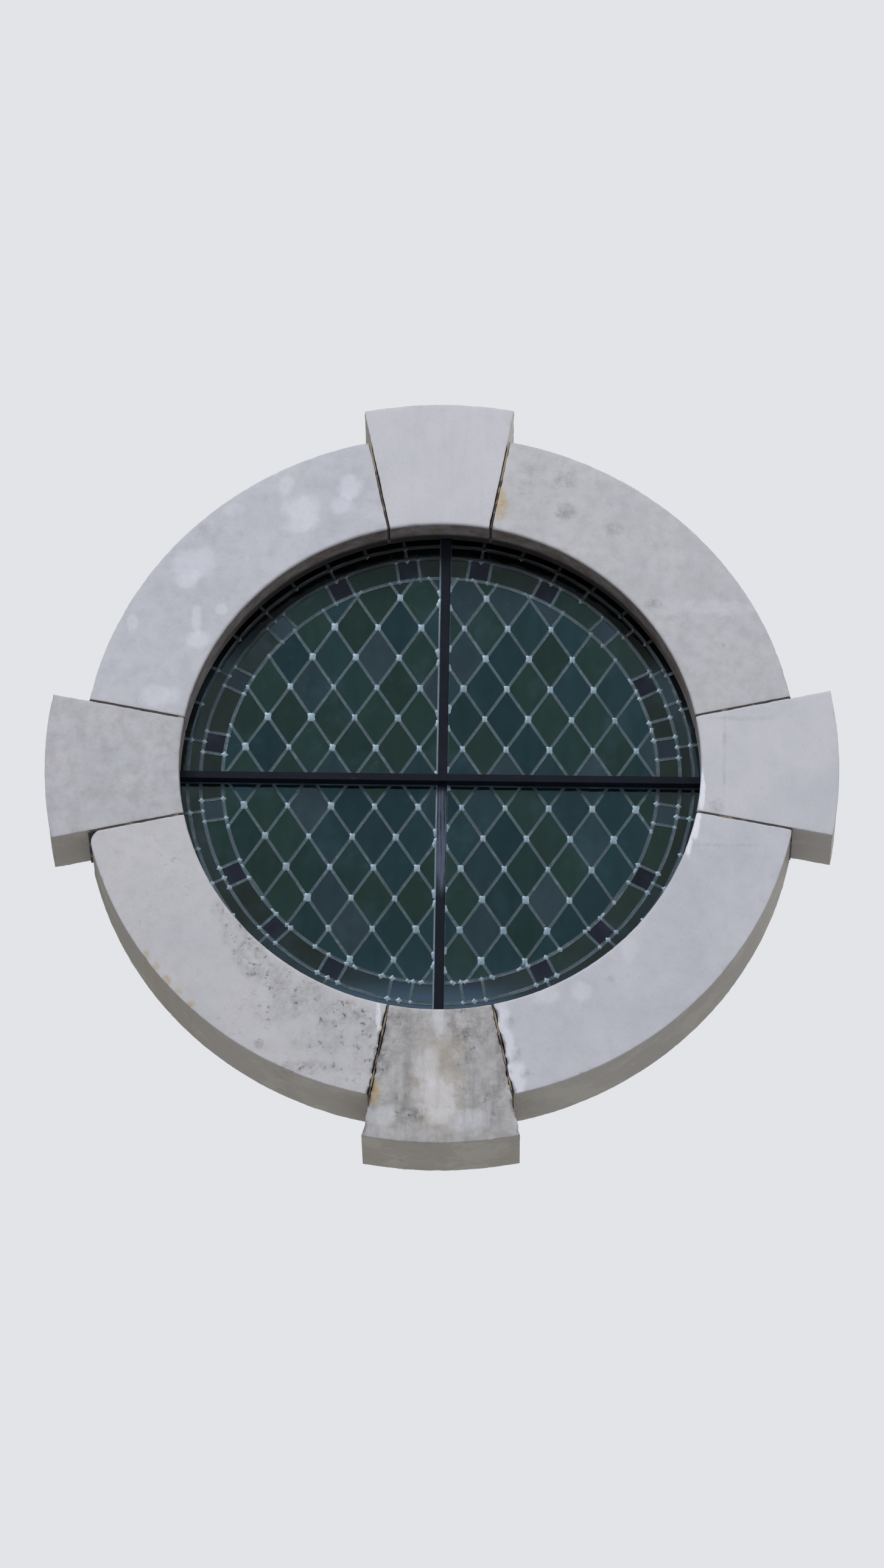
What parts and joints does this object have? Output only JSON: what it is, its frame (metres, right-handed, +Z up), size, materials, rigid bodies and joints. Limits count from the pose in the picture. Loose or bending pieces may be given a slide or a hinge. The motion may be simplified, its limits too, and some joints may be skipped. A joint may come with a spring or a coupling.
{
  "type": "oculus window",
  "caption": "Round leaded window: dressed stone ring with projecting keystones, crossing iron bars and diamond lattice panels with a border of small squares.",
  "frame": {"origin": "centre of the opening, in the plane of the stones' front face", "axes": "+X to the right seen from outside, +Y into the wall, +Z up"},
  "size_m": [2.24, 0.24, 2.24],
  "materials": {
    "stone": "matte",
    "joint_mortar": "matte",
    "bedding_mortar": "matte",
    "painted_iron": "satin",
    "inside_iron": "matte",
    "lead": "matte",
    "copper": "matte",
    "green_glass": "gloss",
    "violet_glass": "gloss",
    "grey_glass": "gloss"
  },
  "bodies": {
    "root": {"keystone_top": "stone", "keystone_right": "stone", "keystone_bottom": "stone", "keystone_left": "stone", "ring_stone_upper_right": "stone", "ring_stone_upper_left": "stone", "ring_stone_lower_left": "stone", "ring_stone_lower_right": "stone", "joint_mortar": "joint_mortar", "glazing_bed": "bedding_mortar", "rebate_fillet": "bedding_mortar", "mullion_bar": "painted_iron", "transom_bar": "painted_iron", "bar_end_lead": "lead", "mullion_cover": "inside_iron", "transom_cover_left": "inside_iron", "transom_cover_right": "inside_iron", "cover_wedges": "inside_iron", "rebate_pins": "inside_iron", "saddle_bar_upper": "inside_iron", "saddle_bar_lower": "inside_iron", "tie_straps": "copper", "lead_net_upper_right": "lead", "lead_net_upper_left": "lead", "lead_net_lower_left": "lead", "lead_net_lower_right": "lead", "diamond_panes_upper_right": "green_glass", "diamond_panes_upper_left": "green_glass", "diamond_panes_lower_left": "green_glass", "diamond_panes_lower_right": "green_glass", "square_panes_upper_right": "violet_glass", "square_panes_upper_left": "violet_glass", "square_panes_lower_left": "violet_glass", "square_panes_lower_right": "violet_glass", "border_panes_upper_right": "green_glass", "border_panes_upper_left": "green_glass", "border_panes_lower_left": "green_glass", "border_panes_lower_right": "green_glass", "narrow_panes_upper_right": "grey_glass", "narrow_panes_upper_left": "grey_glass", "narrow_panes_lower_left": "grey_glass", "narrow_panes_lower_right": "grey_glass", "rim_panes_upper_right": "grey_glass", "rim_panes_upper_left": "grey_glass", "rim_panes_lower_left": "grey_glass", "rim_panes_lower_right": "grey_glass"}
  },
  "joints": []
}
